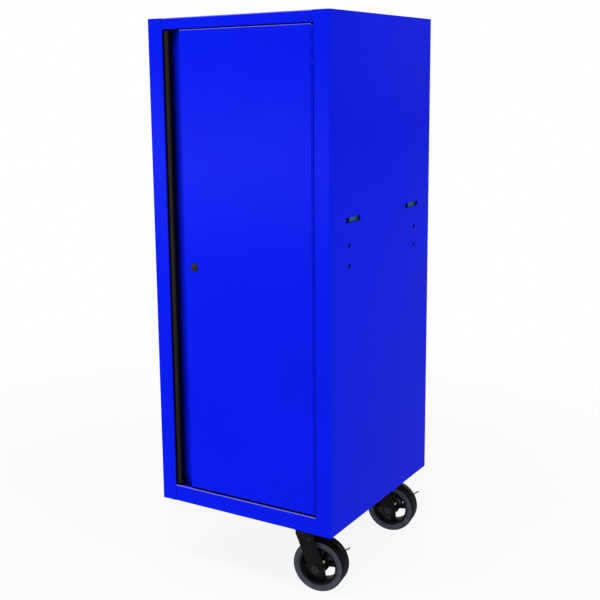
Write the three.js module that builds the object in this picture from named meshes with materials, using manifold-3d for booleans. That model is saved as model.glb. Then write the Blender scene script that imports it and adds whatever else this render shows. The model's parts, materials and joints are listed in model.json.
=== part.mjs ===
import * as THREE from "three";
import { mergeVertices } from "three/addons/utils/BufferGeometryUtils.js";
import Module from "manifold-3d";

const wasm = await Module();
wasm.setup();

// Cabinet body in millimetres: x runs right from the left side, y back from the front, z up from
// the bottom edge.
const WIDTH = 482.6;
const DEPTH = 533.4;
const HEIGHT = 1181;
const SHEET = 1.2;
const BEND = 0.8; // inside radius of a fold
const SEAM = 0.3; // gap between pieces that are welded or bolted to each other

// Front frame: two stiles folded from the side panels, two rails folded from the top and bottom.
const LATCH_STILE = 41;
const HINGE_STILE = 40;
const STILE_RETURN = 26;
const TOP_RAIL = 25.5;
const BOTTOM_RAIL = 42;
const TOP_RETURN = 42;
const BOTTOM_RETURN = 22;
const STILE_SEAM = 0.8; // the visible joint between the latch stile and the rails
const REAR_FLANGE = 20;
const PAN_FLANGE = 25;

// Fixing pattern of both sides: four bolt holes under two hook slots.
const BOLT_HOLE = 12;
const BOLT_INSET = 91.2; // from the front and from the back
const BOLT_LOW = 620;
const BOLT_HIGH = 667;
const SLOT_LENGTH = 70;
const SLOT_HEIGHT = 12;
const SLOT_INSET = 108.7; // middle of a hook slot from the front and from the back
const SLOT_LEVEL = 725.5;
const SLOT_MOUTH = 29; // open front part of a hook slot, ahead of its keeper
const KEEPER_STEEL = 2;
const KEEPER_STAND = 5;
const KEEPER_FLANGE = 15;
const KEEPER_LAP = 10;

// Shelf uprights, shelves and their side brackets.
const UPRIGHT_WIDTH = 25;
const UPRIGHT_DEPTH = 12;
const UPRIGHT_STEEL = 1.5;
const UPRIGHT_INSET = 34;
const HOOK_PITCH = 75;
const HOOK_FIRST = 40;
const HOOK_SLOT = 16;
const HOOK_SLOT_WIDTH = 5;
const HOOK_STEEL = 3;
const SHELF_SHARES = { low: 0.2, middle: 0.5, high: 0.8 }; // place among the hook slots
const SHELF_FRONT = 60;
const SHELF_REAR_GAP = 6;
const SHELF_FLANGE = 22;
const SHELF_HEM = 10;
const BRACKET_STEEL = 1.5;
const BRACKET_HEIGHT = 30;
const BRACKET_LEDGE = 18;

// Door: a folded tray whose latch edge is a finger pocket behind the pull.
const LATCH_GAP = 4;
const HINGE_GAP = 4.6;
const DOOR_TOP_GAP = 2.5;
const DOOR_BOTTOM_GAP = 5;
const DOOR_DEPTH = 24.5;
const DOOR_LIP = 14;
const PULL_ZONE = 45; // from the latch edge to the flat front
const POCKET_DEPTH = 20;
const POCKET_SLANT = 7;
const PULL_FACE = 12.5;
const PULL_WALL = 1.8;
const PULL_LIP = 7;
const PULL_GRIP = 13;
const PULL_EDGE = 1.7;
const STIFFENER_WIDTH = 34;
const STIFFENER_FLANGE = 16;
const STIFFENER_DEPTH = 17;
const STIFFENER_SLOPE = 6;
const STIFFENER_END = 45;

// Piano hinge.
const KNUCKLE_RADIUS = 2;
const KNUCKLE_BORE = 1.3;
const KNUCKLE_PITCH = 38;
const KNUCKLE_GAP = 0.4;
const HINGE_PIN = 0.9;
const HINGE_LEAF = 1;
const LEAF_DEPTH = 20;
const HINGE_AXIS_BACK = 0.6; // hinge axis behind the front face
const HINGE_END = 4;

// Cam lock.
const LOCK_FROM_POCKET = 26.8;
const LOCK_HEIGHT = 602;
const LOCK_FACE = 20.5;
const LOCK_FACE_RISE = 2.6;
const LOCK_BARREL = 17;
const LOCK_HOLE_PLAY = 0.5;
const LOCK_NUT = 23;
const LOCK_NUT_THICK = 5;
const LOCK_PLUG = 11;
const LOCK_PLAY = 0.25;
const KEYWAY = [1.6, 7.5, 5]; // width, height and depth
const CAM_STEEL = 2.5;
const CAM_WIDTH = 18;
const CAM_REACH = 82;
const CAM_CLEAR = 0.8; // behind the stile's return
const CAM_SCREW = 9;
const CAM_SCREW_HEAD = 3.4;

// Magnetic catch under the top rail.
const CATCH_FROM_LEFT = 225;
const CATCH_SIZE = [52, 14, 17];
const STRIKE_SIZE = [40, 1.2, 11];

// Casters under the hinge side.
const CASTER_HEIGHT = 168.5;
const CASTER_SIDE = 104.2; // swivel axis from the right side
const CASTER_INSET = 68; // swivel axis from the front and from the back
const CASTER_TURN = 8; // degrees that the casters stand swivelled at rest
const CASTER_PLATE = [114, 102, 5];
const PLATE_CORNER = 9;
const PLATE_BOLTS = [84, 74];
const BOLT_RADIUS = 5;
const BOLT_HEAD = [8.5, 6]; // half width over corners and height
const BOLT_RISE = 9;
const CHANNEL_STEEL = 2.5;
const CHANNEL_WIDTH = 124;
const CHANNEL_FLANGE = 16;
const RACE_RADIUS = 33;
const RACE_DROP = 8.7;
const KINGPIN_RADIUS = 8;
const KINGPIN_HEAD = [12, 5];
const TRAIL = 38;
const WHEEL = 127;
const WHEEL_WIDTH = 50;
const RIM_RADIUS = 47;
const HUB_RADIUS = 16.5;
const HUB_WIDTH = 56;
const SPOKE_COUNT = 4;
const SPOKE_WEB = 12.5;
const FIRST_WINDOW = -40; // degrees from straight back along the trail
const NIPPLE_TURN = 45; // degrees, as above
const FORK_STEEL = 5;
const FORK_INSIDE = 60;
const FORK_BEND = 4;
const CROWN_RADIUS = 36;
const LEG_FRONT = -15; // edges of a leg under the crown, from the swivel axis
const LEG_REAR = 27;
const AXLE_END = 19;
const AXLE_RADIUS = 6;
const AXLE_HEAD = [10.5, 7.5];
const SLEEVE_WALL = 2;
const BEARING_WALL = 3;
const RUNNING = 0.4; // clearance of turning pieces
const BRAKE_PIN = [20, -33]; // behind and below the plate's top centre
const BRAKE_PIN_RADIUS = 3;
const BRAKE_EYE = 3;
const BRAKE_STEEL = 2;
const BRAKE_CLEAR = 2.5; // above the tyre when released
const BRAKE_BEND = 3;
const BRAKE_WIDTH = 40; // of the eye on the pin
const BRAKE_STRAP = 16;
const BRAKE_TAIL = 8;
const BRAKE_WRAP = 34; // degrees above level where the tail leaves the tread
const BRAKE_REACH = 25.5; // of the tail past the tyre
const PAST = 5; // how far a cut reaches past its piece

const BLUE = 0x1430e0;
const BLACK = 0x1b1a19;
const ZINC = 0x9aa6a8;
const STEEL = 0xb5b8ba;
const RUBBER = 0x22262e;
const BRASS = 0xb08d57;

// Derived positions.
const REAR = DEPTH - SHEET; // front face of the rear flanges
const BACK_FACE = REAR - SEAM - SHEET; // front face of the back panel
const PAN_REAR = BACK_FACE - SEAM;
const DOOR_LEFT = LATCH_STILE + LATCH_GAP;
const DOOR_RIGHT = WIDTH - HINGE_STILE - HINGE_GAP;
const DOOR_LOW = BOTTOM_RAIL + DOOR_BOTTOM_GAP;
const DOOR_HIGH = HEIGHT - TOP_RAIL - DOOR_TOP_GAP;
const HINGE_X = DOOR_RIGHT + HINGE_GAP / 2;
const POCKET_EDGE = DOOR_LEFT + PULL_ZONE;
const GRIP_FACE = DOOR_LEFT + PULL_WALL + SEAM + SHEET;
const LOCK_X = POCKET_EDGE + LOCK_FROM_POCKET;
const CAM_FRONT = STILE_RETURN + CAM_CLEAR;
const FIX_HEIGHT = (BOLT_LOW + BOLT_HIGH) / 2;
const BOLT_SPREAD = DEPTH - 2 * BOLT_INSET;
const SLOT_SPREAD = DEPTH - 2 * SLOT_INSET;
const UPRIGHT_FACE = SHEET + SEAM + UPRIGHT_DEPTH;
const UPRIGHT_LOW = BOTTOM_RAIL + SEAM;
const UPRIGHT_HIGH = HEIGHT - PAN_FLANGE - SEAM;
const AXLE_DROP = CASTER_HEIGHT - SEAM - WHEEL / 2;
const TYRE_INSIDE = RIM_RADIUS + SEAM;
const CASTER_X = WIDTH - CASTER_SIDE;
const CROWN_TOP = -(CASTER_PLATE[2] + RACE_DROP + SEAM);
const LEG_TOP = CROWN_TOP - FORK_STEEL - FORK_BEND;

const rad = THREE.MathUtils.degToRad;

// Geometry helpers

function facingOut(geometry) {
  const closed = merged(geometry);
  const index = closed.index.array;
  if (solid(closed).volume() < 0) {
    for (let i = 0; i < index.length; i += 3) {
      [index[i], index[i + 1]] = [index[i + 1], index[i]];
    }
  }
  return closed;
}

function merged(geometry) {
  const bare = geometry.clone();
  bare.deleteAttribute("normal");
  bare.deleteAttribute("uv");
  return mergeVertices(bare, 1e-4);
}

function solid(geometry) {
  const closed = merged(geometry);
  const vertProperties = new Float32Array(closed.attributes.position.array);
  const triVerts = new Uint32Array(closed.index.array);
  return new wasm.Manifold(new wasm.Mesh({ numProp: 3, vertProperties, triVerts }));
}

function surface(body) {
  const mesh = body.getMesh();
  const geometry = new THREE.BufferGeometry();
  geometry.setAttribute("position", new THREE.BufferAttribute(mesh.vertProperties, 3));
  geometry.setIndex(new THREE.BufferAttribute(mesh.triVerts, 1));
  return geometry;
}

function joined(...geometries) {
  return surface(geometries.map(solid).reduce((sum, next) => sum.add(next)));
}

function without(base, ...cutters) {
  return surface(cutters.map(solid).reduce((rest, next) => rest.subtract(next), solid(base)));
}

function common(a, b) {
  return surface(solid(a).intersect(solid(b)));
}

function block(x, y, z) {
  const size = [x, y, z].map(([from, to]) => to - from);
  const middle = [x, y, z].map(([from, to]) => (from + to) / 2);
  return new THREE.BoxGeometry(...size).translate(...middle);
}

function extruded(shape, length) {
  return new THREE.ExtrudeGeometry(shape, { depth: length, bevelEnabled: false, curveSegments: 2 });
}

// An outline in x and y pushed up z.
function upward(shape, low, high) {
  return extruded(shape, high - low).translate(0, 0, low);
}

// An outline in x and z pushed back along y.
function backward(shape, from, to) {
  return extruded(shape, to - from).rotateX(Math.PI / 2).translate(0, to, 0);
}

// An outline in y and z pushed right along x.
function rightward(shape, from, to) {
  const turn = new THREE.Matrix4().set(0, 0, 1, from, 1, 0, 0, 0, 0, 1, 0, 0, 0, 0, 0, 1);
  return extruded(shape, to - from).applyMatrix4(turn);
}

function rod(radius, from, to, sides = 20) {
  return new THREE.CylinderGeometry(radius, radius, to - from, sides).translate(0, (from + to) / 2, 0);
}

// A closed profile of [radius, y] points turned about the y axis.
function turned(profile, sides = 24) {
  const onAxis = profile[0][0] === 0;
  const loop = onAxis ? profile : [...profile, profile[0]];
  const points = loop.map(([radius, along]) => new THREE.Vector2(radius, along));
  return facingOut(new THREE.LatheGeometry(points, sides));
}

function polygon(points) {
  return new THREE.Shape(points.map(([x, y]) => new THREE.Vector2(x, y)));
}

// Replaces the inner corners of an open line by arcs of the given radii.
function rounded(line, radii) {
  const result = [line[0]];
  for (let i = 1; i < line.length - 1; i += 1) {
    const before = line[i].clone().sub(line[i - 1]).normalize();
    const after = line[i + 1].clone().sub(line[i]).normalize();
    const turn = Math.atan2(before.cross(after), before.dot(after));
    const cut = radii[i] * Math.tan(Math.abs(turn) / 2);
    const start = line[i].clone().addScaledVector(before, -cut);
    const inward = new THREE.Vector2(-before.y, before.x).multiplyScalar(Math.sign(turn));
    const centre = start.clone().addScaledVector(inward, radii[i]);
    const steps = Math.max(1, Math.ceil(Math.abs(turn) / rad(46)));
    for (let k = 0; k <= steps; k += 1) {
      result.push(start.clone().rotateAround(centre, (turn * k) / steps));
    }
  }
  result.push(line[line.length - 1]);
  return result;
}

// The outline of folded sheet: its outer face follows the line, and the steel lies to the right
// of it (side 1) or to the left (side -1).
function folded(points, steel, side = 1, bend = BEND) {
  const line = points.map(([x, y]) => new THREE.Vector2(x, y));
  const ways = line.slice(1).map((point, i) => point.clone().sub(line[i]).normalize());
  const normals = ways.map((way) => new THREE.Vector2(way.y, -way.x).multiplyScalar(side));
  const last = normals.length - 1;
  const offset = line.map((point, i) => {
    const a = normals[Math.max(i - 1, 0)];
    const b = normals[Math.min(i, last)];
    return point.clone().addScaledVector(a.clone().add(b), steel / (1 + a.dot(b)));
  });
  const inside = line.map((_, i) => {
    return i > 0 && i <= last && ways[i - 1].cross(ways[i]) * side < 0;
  });
  const face = rounded(line, inside.map((folds) => (folds ? bend + steel : bend)));
  const back = rounded(offset, inside.map((folds) => (folds ? bend : bend + steel)));
  return new THREE.Shape([...face, ...back.reverse()]);
}

function roundedBar(length, height, corner) {
  const shape = new THREE.Shape();
  const [x, y] = [length / 2, height / 2];
  shape.moveTo(-x + corner, -y);
  shape.lineTo(x - corner, -y);
  shape.absarc(x - corner, -y + corner, corner, -Math.PI / 2, 0);
  shape.lineTo(x, y - corner);
  shape.absarc(x - corner, y - corner, corner, 0, Math.PI / 2);
  shape.lineTo(-x + corner, y);
  shape.absarc(-x + corner, y - corner, corner, Math.PI / 2, Math.PI);
  shape.lineTo(-x, -y + corner);
  shape.absarc(-x + corner, -y + corner, corner, Math.PI, 1.5 * Math.PI);
  return shape;
}

// Cabinet

function fixingCuts(x) {
  const middle = DEPTH / 2;
  const through = [x - PAST, x + PAST];
  const cuts = [];
  for (const way of [-1, 1]) {
    for (const level of [BOLT_LOW, BOLT_HIGH]) {
      const hole = rod(BOLT_HOLE / 2, ...through, 12).rotateZ(-Math.PI / 2);
      cuts.push(hole.translate(0, middle + (way * BOLT_SPREAD) / 2, level));
    }
    const slot = rightward(roundedBar(SLOT_LENGTH, SLOT_HEIGHT, 2.5), ...through);
    cuts.push(slot.translate(0, middle + (way * SLOT_SPREAD) / 2, SLOT_LEVEL));
  }
  return cuts;
}

function sidePanel(stile, mirror) {
  const x = (value) => (mirror ? WIDTH - value : value);
  const line = [[stile, STILE_RETURN], [stile, 0], [0, 0], [0, DEPTH], [REAR_FLANGE, DEPTH]];
  const shape = folded(line.map(([a, b]) => [x(a), b]), SHEET, mirror ? -1 : 1);
  const strip = [x(SHEET + SEAM), x(stile + 1)].sort((a, b) => a - b);
  const behind = [SHEET, STILE_RETURN + 1];
  const deckCut = block(strip, behind, [-1, BOTTOM_RAIL + SEAM]);
  const topCut = block(strip, behind, [HEIGHT - SHEET - SEAM, HEIGHT + 1]);
  return without(upward(shape, 0, HEIGHT), deckCut, topCut, ...fixingCuts(x(SHEET / 2)));
}

// The top or bottom panel with the rail folded from its front edge.
function pan(low, high, turnBack) {
  const line = [[turnBack, low], [0, low], [0, high], [PAN_REAR, high], [PAN_REAR, high - PAN_FLANGE]];
  const [left, right] = [SHEET + SEAM, WIDTH - SHEET - SEAM];
  const deck = rightward(folded(line, SHEET), left, right);
  const cuts = [[-1, LATCH_STILE + STILE_SEAM], [WIDTH - HINGE_STILE - SEAM, WIDTH + 1]].flatMap((x) => [
    block(x, [-1, SHEET + SEAM], [low - 1, high + 1]),
    block(x, [-1, turnBack + 1], [low - 1, high - SHEET]),
  ]);
  const along = [TOP_RETURN + 8, PAN_REAR - REAR_FLANGE];
  const rise = [high - PAN_FLANGE, high - SHEET / 2];
  const flanges = [[left, left + SHEET], [right - SHEET, right]].map((x) => block(x, along, rise));
  return joined(without(deck, ...cuts), ...flanges);
}

function backPanel() {
  return block([SHEET + SEAM, WIDTH - SHEET - SEAM], [BACK_FACE, BACK_FACE + SHEET], [0, HEIGHT]);
}

function casterChannel() {
  const top = BOTTOM_RAIL - SHEET - SEAM;
  const half = CHANNEL_WIDTH / 2;
  const line = [[-half - CHANNEL_FLANGE, top], [-half, top], [-half, CHANNEL_STEEL]];
  const shape = folded([...line, ...line.map(([x, z]) => [-x, z]).reverse()], CHANNEL_STEEL);
  const hat = backward(shape, BOTTOM_RETURN + SEAM, PAN_REAR - SHEET - SEAM).translate(CASTER_X, 0, 0);
  const holes = [CASTER_INSET, DEPTH - CASTER_INSET].flatMap((y) => {
    const four = plateBolts(BOLT_RADIUS + 2 * SEAM, -PAST, CHANNEL_STEEL + PAST, 6);
    return four.map((hole) => hole.translate(CASTER_X, y, 0));
  });
  return without(hat, ...holes);
}

function keeper() {
  const half = SLOT_HEIGHT / 2 + 4;
  const line = [[0, -half - KEEPER_FLANGE], [0, -half], [KEEPER_STAND, -half]];
  const shape = folded([...line, ...line.map(([x, z]) => [x, -z]).reverse()], KEEPER_STEEL);
  return backward(shape, SLOT_MOUTH - SLOT_LENGTH / 2, SLOT_LENGTH / 2 + KEEPER_LAP);
}

function hookLevels() {
  const levels = [];
  for (let z = UPRIGHT_LOW + HOOK_FIRST; z < UPRIGHT_HIGH - HOOK_SLOT; z += HOOK_PITCH) {
    levels.push(z);
  }
  return levels;
}

function upright() {
  const half = UPRIGHT_WIDTH / 2;
  const line = [[0, -half], [UPRIGHT_DEPTH, -half], [UPRIGHT_DEPTH, half], [0, half]];
  const bar = upward(folded(line, UPRIGHT_STEEL, -1), UPRIGHT_LOW, UPRIGHT_HIGH);
  const across = [UPRIGHT_DEPTH - UPRIGHT_STEEL - 1, UPRIGHT_DEPTH + 1];
  const wide = [-HOOK_SLOT_WIDTH / 2, HOOK_SLOT_WIDTH / 2];
  const slots = hookLevels().map((z) => block(across, wide, [z - HOOK_SLOT / 2, z + HOOK_SLOT / 2]));
  return without(bar, ...slots);
}

// An angle that hooks into a front and a rear upright; z is 0 on top of its ledge.
function bracket() {
  const ends = [UPRIGHT_INSET, DEPTH - UPRIGHT_INSET];
  const line = [[0, BRACKET_HEIGHT], [0, 0], [BRACKET_LEDGE, 0]].map(([x, z]) => [x, z - BRACKET_STEEL]);
  const angle = backward(folded(line, BRACKET_STEEL, -1), ...ends);
  const reach = -(SEAM + UPRIGHT_STEEL + SEAM);
  const half = HOOK_STEEL / 2;
  const level = BRACKET_HEIGHT / 2;
  const hooks = [ends[0] + UPRIGHT_WIDTH / 2, ends[1] - UPRIGHT_WIDTH / 2].flatMap((y) => [
    block([reach - 2, BRACKET_STEEL / 2], [y - half, y + half], [level - 4, level + 4]),
    block([reach - 2, reach], [y - half, y + half], [level - HOOK_SLOT / 2 - 3, level]),
  ]);
  return joined(angle, ...hooks);
}

function shelf() {
  const gap = UPRIGHT_FACE + SEAM + BRACKET_STEEL + SEAM;
  const [front, rear] = [SHELF_FRONT, PAN_REAR - SHELF_REAR_GAP];
  const [left, right] = [gap, WIDTH - gap];
  const top = SHELF_FLANGE;
  const nose = [[front + SHELF_HEM, 0], [front, 0], [front, top]];
  const tail = [[rear, top], [rear, 0], [rear - SHELF_HEM, 0]];
  const deck = rightward(folded([...nose, ...tail], SHEET), left, right);
  const between = [front + SHELF_HEM + 2, rear - SHELF_HEM - 2];
  const sides = [[left, left + SHEET], [right - SHEET, right]];
  return joined(deck, ...sides.map((x) => block(x, between, [0, top - SHEET / 2])));
}

// Door

function doorSkin() {
  const tip = PULL_WALL + SEAM + BEND;
  const front = [
    [DOOR_RIGHT - DOOR_LIP, DOOR_DEPTH],
    [DOOR_RIGHT, DOOR_DEPTH],
    [DOOR_RIGHT, 0],
    [POCKET_EDGE, 0],
    [POCKET_EDGE - POCKET_SLANT, POCKET_DEPTH],
    [GRIP_FACE, POCKET_DEPTH],
  ];
  const skin = upward(folded([...front, [GRIP_FACE, tip]], SHEET), DOOR_LOW, DOOR_HIGH);
  const corner = [GRIP_FACE + BEND, DOOR_DEPTH];
  const line = [...front.slice(1), corner].map(([x, y]) => new THREE.Vector2(x, y));
  const cap = new THREE.Shape(rounded(line, line.map(() => BEND + SHEET)));
  const caps = [DOOR_LOW, DOOR_HIGH - SHEET].map((z) => upward(cap, z, z + SHEET));
  const across = [POCKET_EDGE, DOOR_RIGHT - BEND];
  const thick = [DOOR_DEPTH - SHEET, DOOR_DEPTH];
  const lips = [[DOOR_LOW, DOOR_LOW + DOOR_LIP], [DOOR_HIGH - DOOR_LIP, DOOR_HIGH]];
  const hole = rod(LOCK_BARREL / 2 + LOCK_HOLE_PLAY, -PAST, PAST).translate(LOCK_X, 0, LOCK_HEIGHT);
  const whole = joined(skin, ...caps, ...lips.map((z) => block(across, thick, z)));
  return without(whole, hole, doorEdge(DOOR_HIGH, 1), doorEdge(DOOR_LOW, -1));
}

// What the fold of the top edge (way 1) or the bottom edge (way -1) takes off the door's front.
function doorEdge(level, way) {
  const bend = BEND + SHEET;
  const along = [POCKET_EDGE, DOOR_RIGHT + PAST];
  const inner = level - way * bend;
  const corner = block(along, [-PAST, bend], [inner, level + way * PAST].sort((a, b) => a - b));
  const round = rod(bend, along[0] - PAST, along[1] + PAST, 16).rotateZ(-Math.PI / 2);
  return without(corner, round.translate(0, bend, inner));
}

// The pull's section: a cap over the pocket's free edge with a lip to curl the fingers behind.
function doorPull() {
  const grip = 2 * SEAM + SHEET + PULL_WALL;
  const deep = POCKET_DEPTH + SHEET;
  const shape = new THREE.Shape();
  shape.moveTo(0, deep);
  shape.lineTo(0, PULL_EDGE);
  shape.absarc(PULL_EDGE, PULL_EDGE, PULL_EDGE, Math.PI, 1.5 * Math.PI);
  shape.lineTo(PULL_FACE - PULL_EDGE, 0);
  shape.absarc(PULL_FACE - PULL_EDGE, PULL_EDGE, PULL_EDGE, -Math.PI / 2, 0);
  shape.lineTo(PULL_FACE, PULL_LIP);
  shape.lineTo(PULL_FACE - PULL_WALL, PULL_LIP);
  shape.lineTo(PULL_FACE - PULL_WALL, PULL_WALL);
  shape.lineTo(grip + PULL_WALL, PULL_WALL);
  shape.lineTo(grip + PULL_WALL, PULL_GRIP);
  shape.lineTo(grip, PULL_GRIP);
  shape.lineTo(grip, PULL_WALL);
  shape.lineTo(PULL_WALL, PULL_WALL);
  shape.lineTo(PULL_WALL, deep);
  return upward(shape, DOOR_LOW, DOOR_HIGH).translate(DOOR_LEFT, 0, 0);
}

function doorStiffener() {
  const half = STIFFENER_WIDTH / 2;
  const foot = half + STIFFENER_SLOPE;
  const near = SHEET + SEAM;
  const line = [[-foot - STIFFENER_FLANGE, near], [-foot, near], [-half, near + STIFFENER_DEPTH]];
  const shape = folded([...line, ...line.map(([x, y]) => [-x, y]).reverse()], SHEET, -1);
  const middle = (POCKET_EDGE + DOOR_RIGHT) / 2;
  return upward(shape, DOOR_LOW + STIFFENER_END, DOOR_HIGH - STIFFENER_END).translate(middle, 0, 0);
}

function knuckles() {
  const low = DOOR_LOW + HINGE_END;
  const count = Math.floor((DOOR_HIGH - HINGE_END - low) / KNUCKLE_PITCH);
  const pitch = (DOOR_HIGH - HINGE_END - low) / count;
  return Array.from({ length: count }, (_, k) => [low + k * pitch, low + (k + 1) * pitch - KNUCKLE_GAP]);
}

// One leaf with every second knuckle, on the left (side -1) or the right (side 1) of the pin.
function hingeLeaf(side, first) {
  const [r, t] = [KNUCKLE_RADIUS, HINGE_LEAF];
  const start = r + RUNNING;
  const end = start + LEAF_DEPTH;
  const spans = knuckles();
  const strip = [side * r, side * (r - t)].sort((a, b) => a - b);
  const leaf = block(strip, [start, end], [spans[0][0], spans[spans.length - 1][1]]);
  const meet = Math.acos((t - r) / r);
  const curl = [[-r, start + t]];
  for (let k = 0; k <= 6; k += 1) {
    const angle = Math.PI + ((Math.PI + meet) * k) / 6;
    curl.push([r * Math.cos(angle), r * Math.sin(angle)]);
  }
  curl.push([-r + t, start + t]);
  const section = polygon(curl.map(([x, y]) => [-side * x, y]));
  const bore = new THREE.Path();
  bore.setFromPoints(new THREE.Path().absarc(0, 0, KNUCKLE_BORE, 0, 2 * Math.PI).getPoints(3).slice(0, -1));
  section.holes.push(bore);
  const own = spans.filter((_, k) => k % 2 === first);
  return joined(leaf, ...own.map((span) => upward(section, ...span)));
}

function hingePin() {
  const spans = knuckles();
  return rod(HINGE_PIN, spans[0][0] - 1, spans[spans.length - 1][1] + 1, 8).rotateX(Math.PI / 2);
}

// The lock stands at x and z 0, with y 0 on the door's front face.
function lockHousing() {
  const [face, barrel, bore] = [LOCK_FACE / 2, LOCK_BARREL / 2, LOCK_PLUG / 2 + LOCK_PLAY];
  const rise = LOCK_FACE_RISE;
  const end = CAM_FRONT - SEAM - 1;
  const profile = [[bore, -rise], [face - 1.6, -rise], [face, -rise + 1.6], [face, -SEAM], [barrel, -SEAM]];
  return turned([...profile, [barrel, end], [bore, end]], 22);
}

function hexagon(corner, bore) {
  const shape = polygon(Array.from({ length: 6 }, (_, k) => {
    return [corner * Math.cos((k * Math.PI) / 3), corner * Math.sin((k * Math.PI) / 3)];
  }));
  if (bore) {
    const ring = new THREE.Path().absarc(0, 0, bore, 0, 2 * Math.PI).getPoints(10).slice(0, -1);
    shape.holes.push(new THREE.Path(ring));
  }
  return shape;
}

function lockNut() {
  const near = SHEET + SEAM;
  const shape = hexagon(LOCK_NUT / Math.sqrt(3), LOCK_BARREL / 2 + SEAM);
  return backward(shape, near, near + LOCK_NUT_THICK);
}

function lockPlug() {
  const front = -LOCK_FACE_RISE - 0.6;
  const plug = rod(LOCK_PLUG / 2, front, CAM_FRONT - SEAM, 24);
  const [width, height, depth] = KEYWAY;
  const slot = [-1, front + depth].map((y, i) => (i ? y : front + y));
  return without(plug, block([-width / 2, width / 2], slot, [-height / 2, height / 2]));
}

function lockCam() {
  const half = CAM_WIDTH / 2;
  const shape = new THREE.Shape();
  shape.absarc(0, 0, half, 0, Math.PI);
  shape.lineTo(-half * 0.7, half - CAM_REACH);
  shape.absarc(0, half * 0.7 - CAM_REACH, half * 0.7, Math.PI, 2 * Math.PI);
  const rear = CAM_FRONT + CAM_STEEL;
  const [wide, top] = [CAM_SCREW / 2, rear + CAM_SCREW_HEAD];
  const head = [[0, rear - 1], [wide, rear - 1], [wide, top - 1.4], [wide / 2, top], [0, top]];
  return joined(backward(shape, CAM_FRONT, rear), turned(head, 16));
}

function magneticCatch() {
  const [width, depth, height] = CATCH_SIZE;
  const front = DOOR_DEPTH + SEAM + STRIKE_SIZE[1] + SEAM;
  const top = HEIGHT - TOP_RAIL - SEAM;
  const x = [CATCH_FROM_LEFT - width / 2, CATCH_FROM_LEFT + width / 2];
  const body = block(x, [front, front + depth], [top - height, top]);
  const middle = top - height * 0.62;
  const groove = block([x[0] + 4, x[1] - 4], [front - 1, front + 2], [middle - 1.5, middle + 1.5]);
  return without(body, groove);
}

function catchStrike() {
  const [width, depth, height] = STRIKE_SIZE;
  const plate = backward(roundedBar(width, height, 3), DOOR_DEPTH + SEAM, DOOR_DEPTH + SEAM + depth);
  return plate.translate(CATCH_FROM_LEFT, 0, DOOR_HIGH - DOOR_LIP / 2);
}

// Casters: the swivel axis is at x and y 0, z 0 is the top of the plate, and the wheel trails
// towards +x.

function plateBolts(radius, low, high, sides) {
  const [x, y] = PLATE_BOLTS.map((spread) => spread / 2);
  return [[-x, -y], [x, -y], [x, y], [-x, y]].map(([a, b]) => {
    return rod(radius, low, high, sides).rotateX(Math.PI / 2).translate(a, b, 0);
  });
}

function casterPlate() {
  const [length, width, thick] = CASTER_PLATE;
  const plate = upward(roundedBar(length, width, PLATE_CORNER), -thick, 0);
  const low = CROWN_TOP + SEAM;
  const wide = RACE_RADIUS + 2;
  const race = [[0, -thick / 2], [wide, -thick / 2], [wide, -thick], [RACE_RADIUS, low], [0, low]];
  const shanks = plateBolts(BOLT_RADIUS, -thick / 2, CHANNEL_STEEL + BOLT_RISE, 6);
  const heads = plateBolts(BOLT_HEAD[0], -thick - BOLT_HEAD[1], -thick / 2, 6);
  const whole = joined(plate, turned(race, 20).rotateX(Math.PI / 2), ...shanks, ...heads);
  return without(whole, rod(KINGPIN_RADIUS + SEAM, low - PAST, PAST).rotateX(Math.PI / 2));
}

function kingpin() {
  const [radius, height] = KINGPIN_HEAD;
  const under = CROWN_TOP - FORK_STEEL - SEAM;
  const low = under - height;
  const r = KINGPIN_RADIUS;
  const head = [[0, low], [radius - 2, low], [radius, low + 2], [radius, under]];
  return turned([...head, [r, under], [r, -1], [0, -1]], 14).rotateX(Math.PI / 2);
}

// Where a straight leg edge from its top meets the round end at the axle, as an angle there.
function legAngle(top, way) {
  const [x, z] = [top - TRAIL, LEG_TOP + AXLE_DROP];
  return Math.atan2(z, x) + way * Math.acos(AXLE_END / Math.hypot(x, z));
}

// The fork is a folded channel trimmed to a round crown over two tapered legs.
function fork() {
  const outer = FORK_INSIDE / 2 + FORK_STEEL;
  const drop = -AXLE_DROP - AXLE_END - PAST;
  const line = [[-outer, drop], [-outer, CROWN_TOP], [outer, CROWN_TOP], [outer, drop]];
  const section = folded(line, FORK_STEEL, 1, FORK_BEND);
  const channel = rightward(section, -CROWN_RADIUS - PAST, TRAIL + AXLE_END + PAST);
  const leg = new THREE.Shape();
  leg.moveTo(LEG_FRONT, CROWN_TOP + PAST);
  leg.lineTo(LEG_REAR, CROWN_TOP + PAST);
  leg.lineTo(LEG_REAR, LEG_TOP);
  leg.absarc(TRAIL, -AXLE_DROP, AXLE_END, legAngle(LEG_REAR, -1), legAngle(LEG_FRONT, 1), true);
  leg.lineTo(LEG_FRONT, LEG_TOP);
  const legs = backward(new THREE.Shape(leg.getPoints(5)), -outer - PAST, outer + PAST);
  const crown = rod(CROWN_RADIUS, LEG_TOP, CROWN_TOP + PAST, 28).rotateX(Math.PI / 2);
  const pinHole = rod(BRAKE_PIN_RADIUS + SEAM, -outer - PAST, outer + PAST, 12);
  const axleHole = rod(AXLE_RADIUS + SEAM, -outer - PAST, outer + PAST, 16);
  return without(
    common(channel, joined(legs, crown)),
    rod(KINGPIN_RADIUS + RUNNING, LEG_TOP - PAST, CROWN_TOP + PAST).rotateX(Math.PI / 2),
    pinHole.translate(BRAKE_PIN[0], 0, BRAKE_PIN[1]),
    axleHole.translate(TRAIL, 0, -AXLE_DROP),
  );
}

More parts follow.
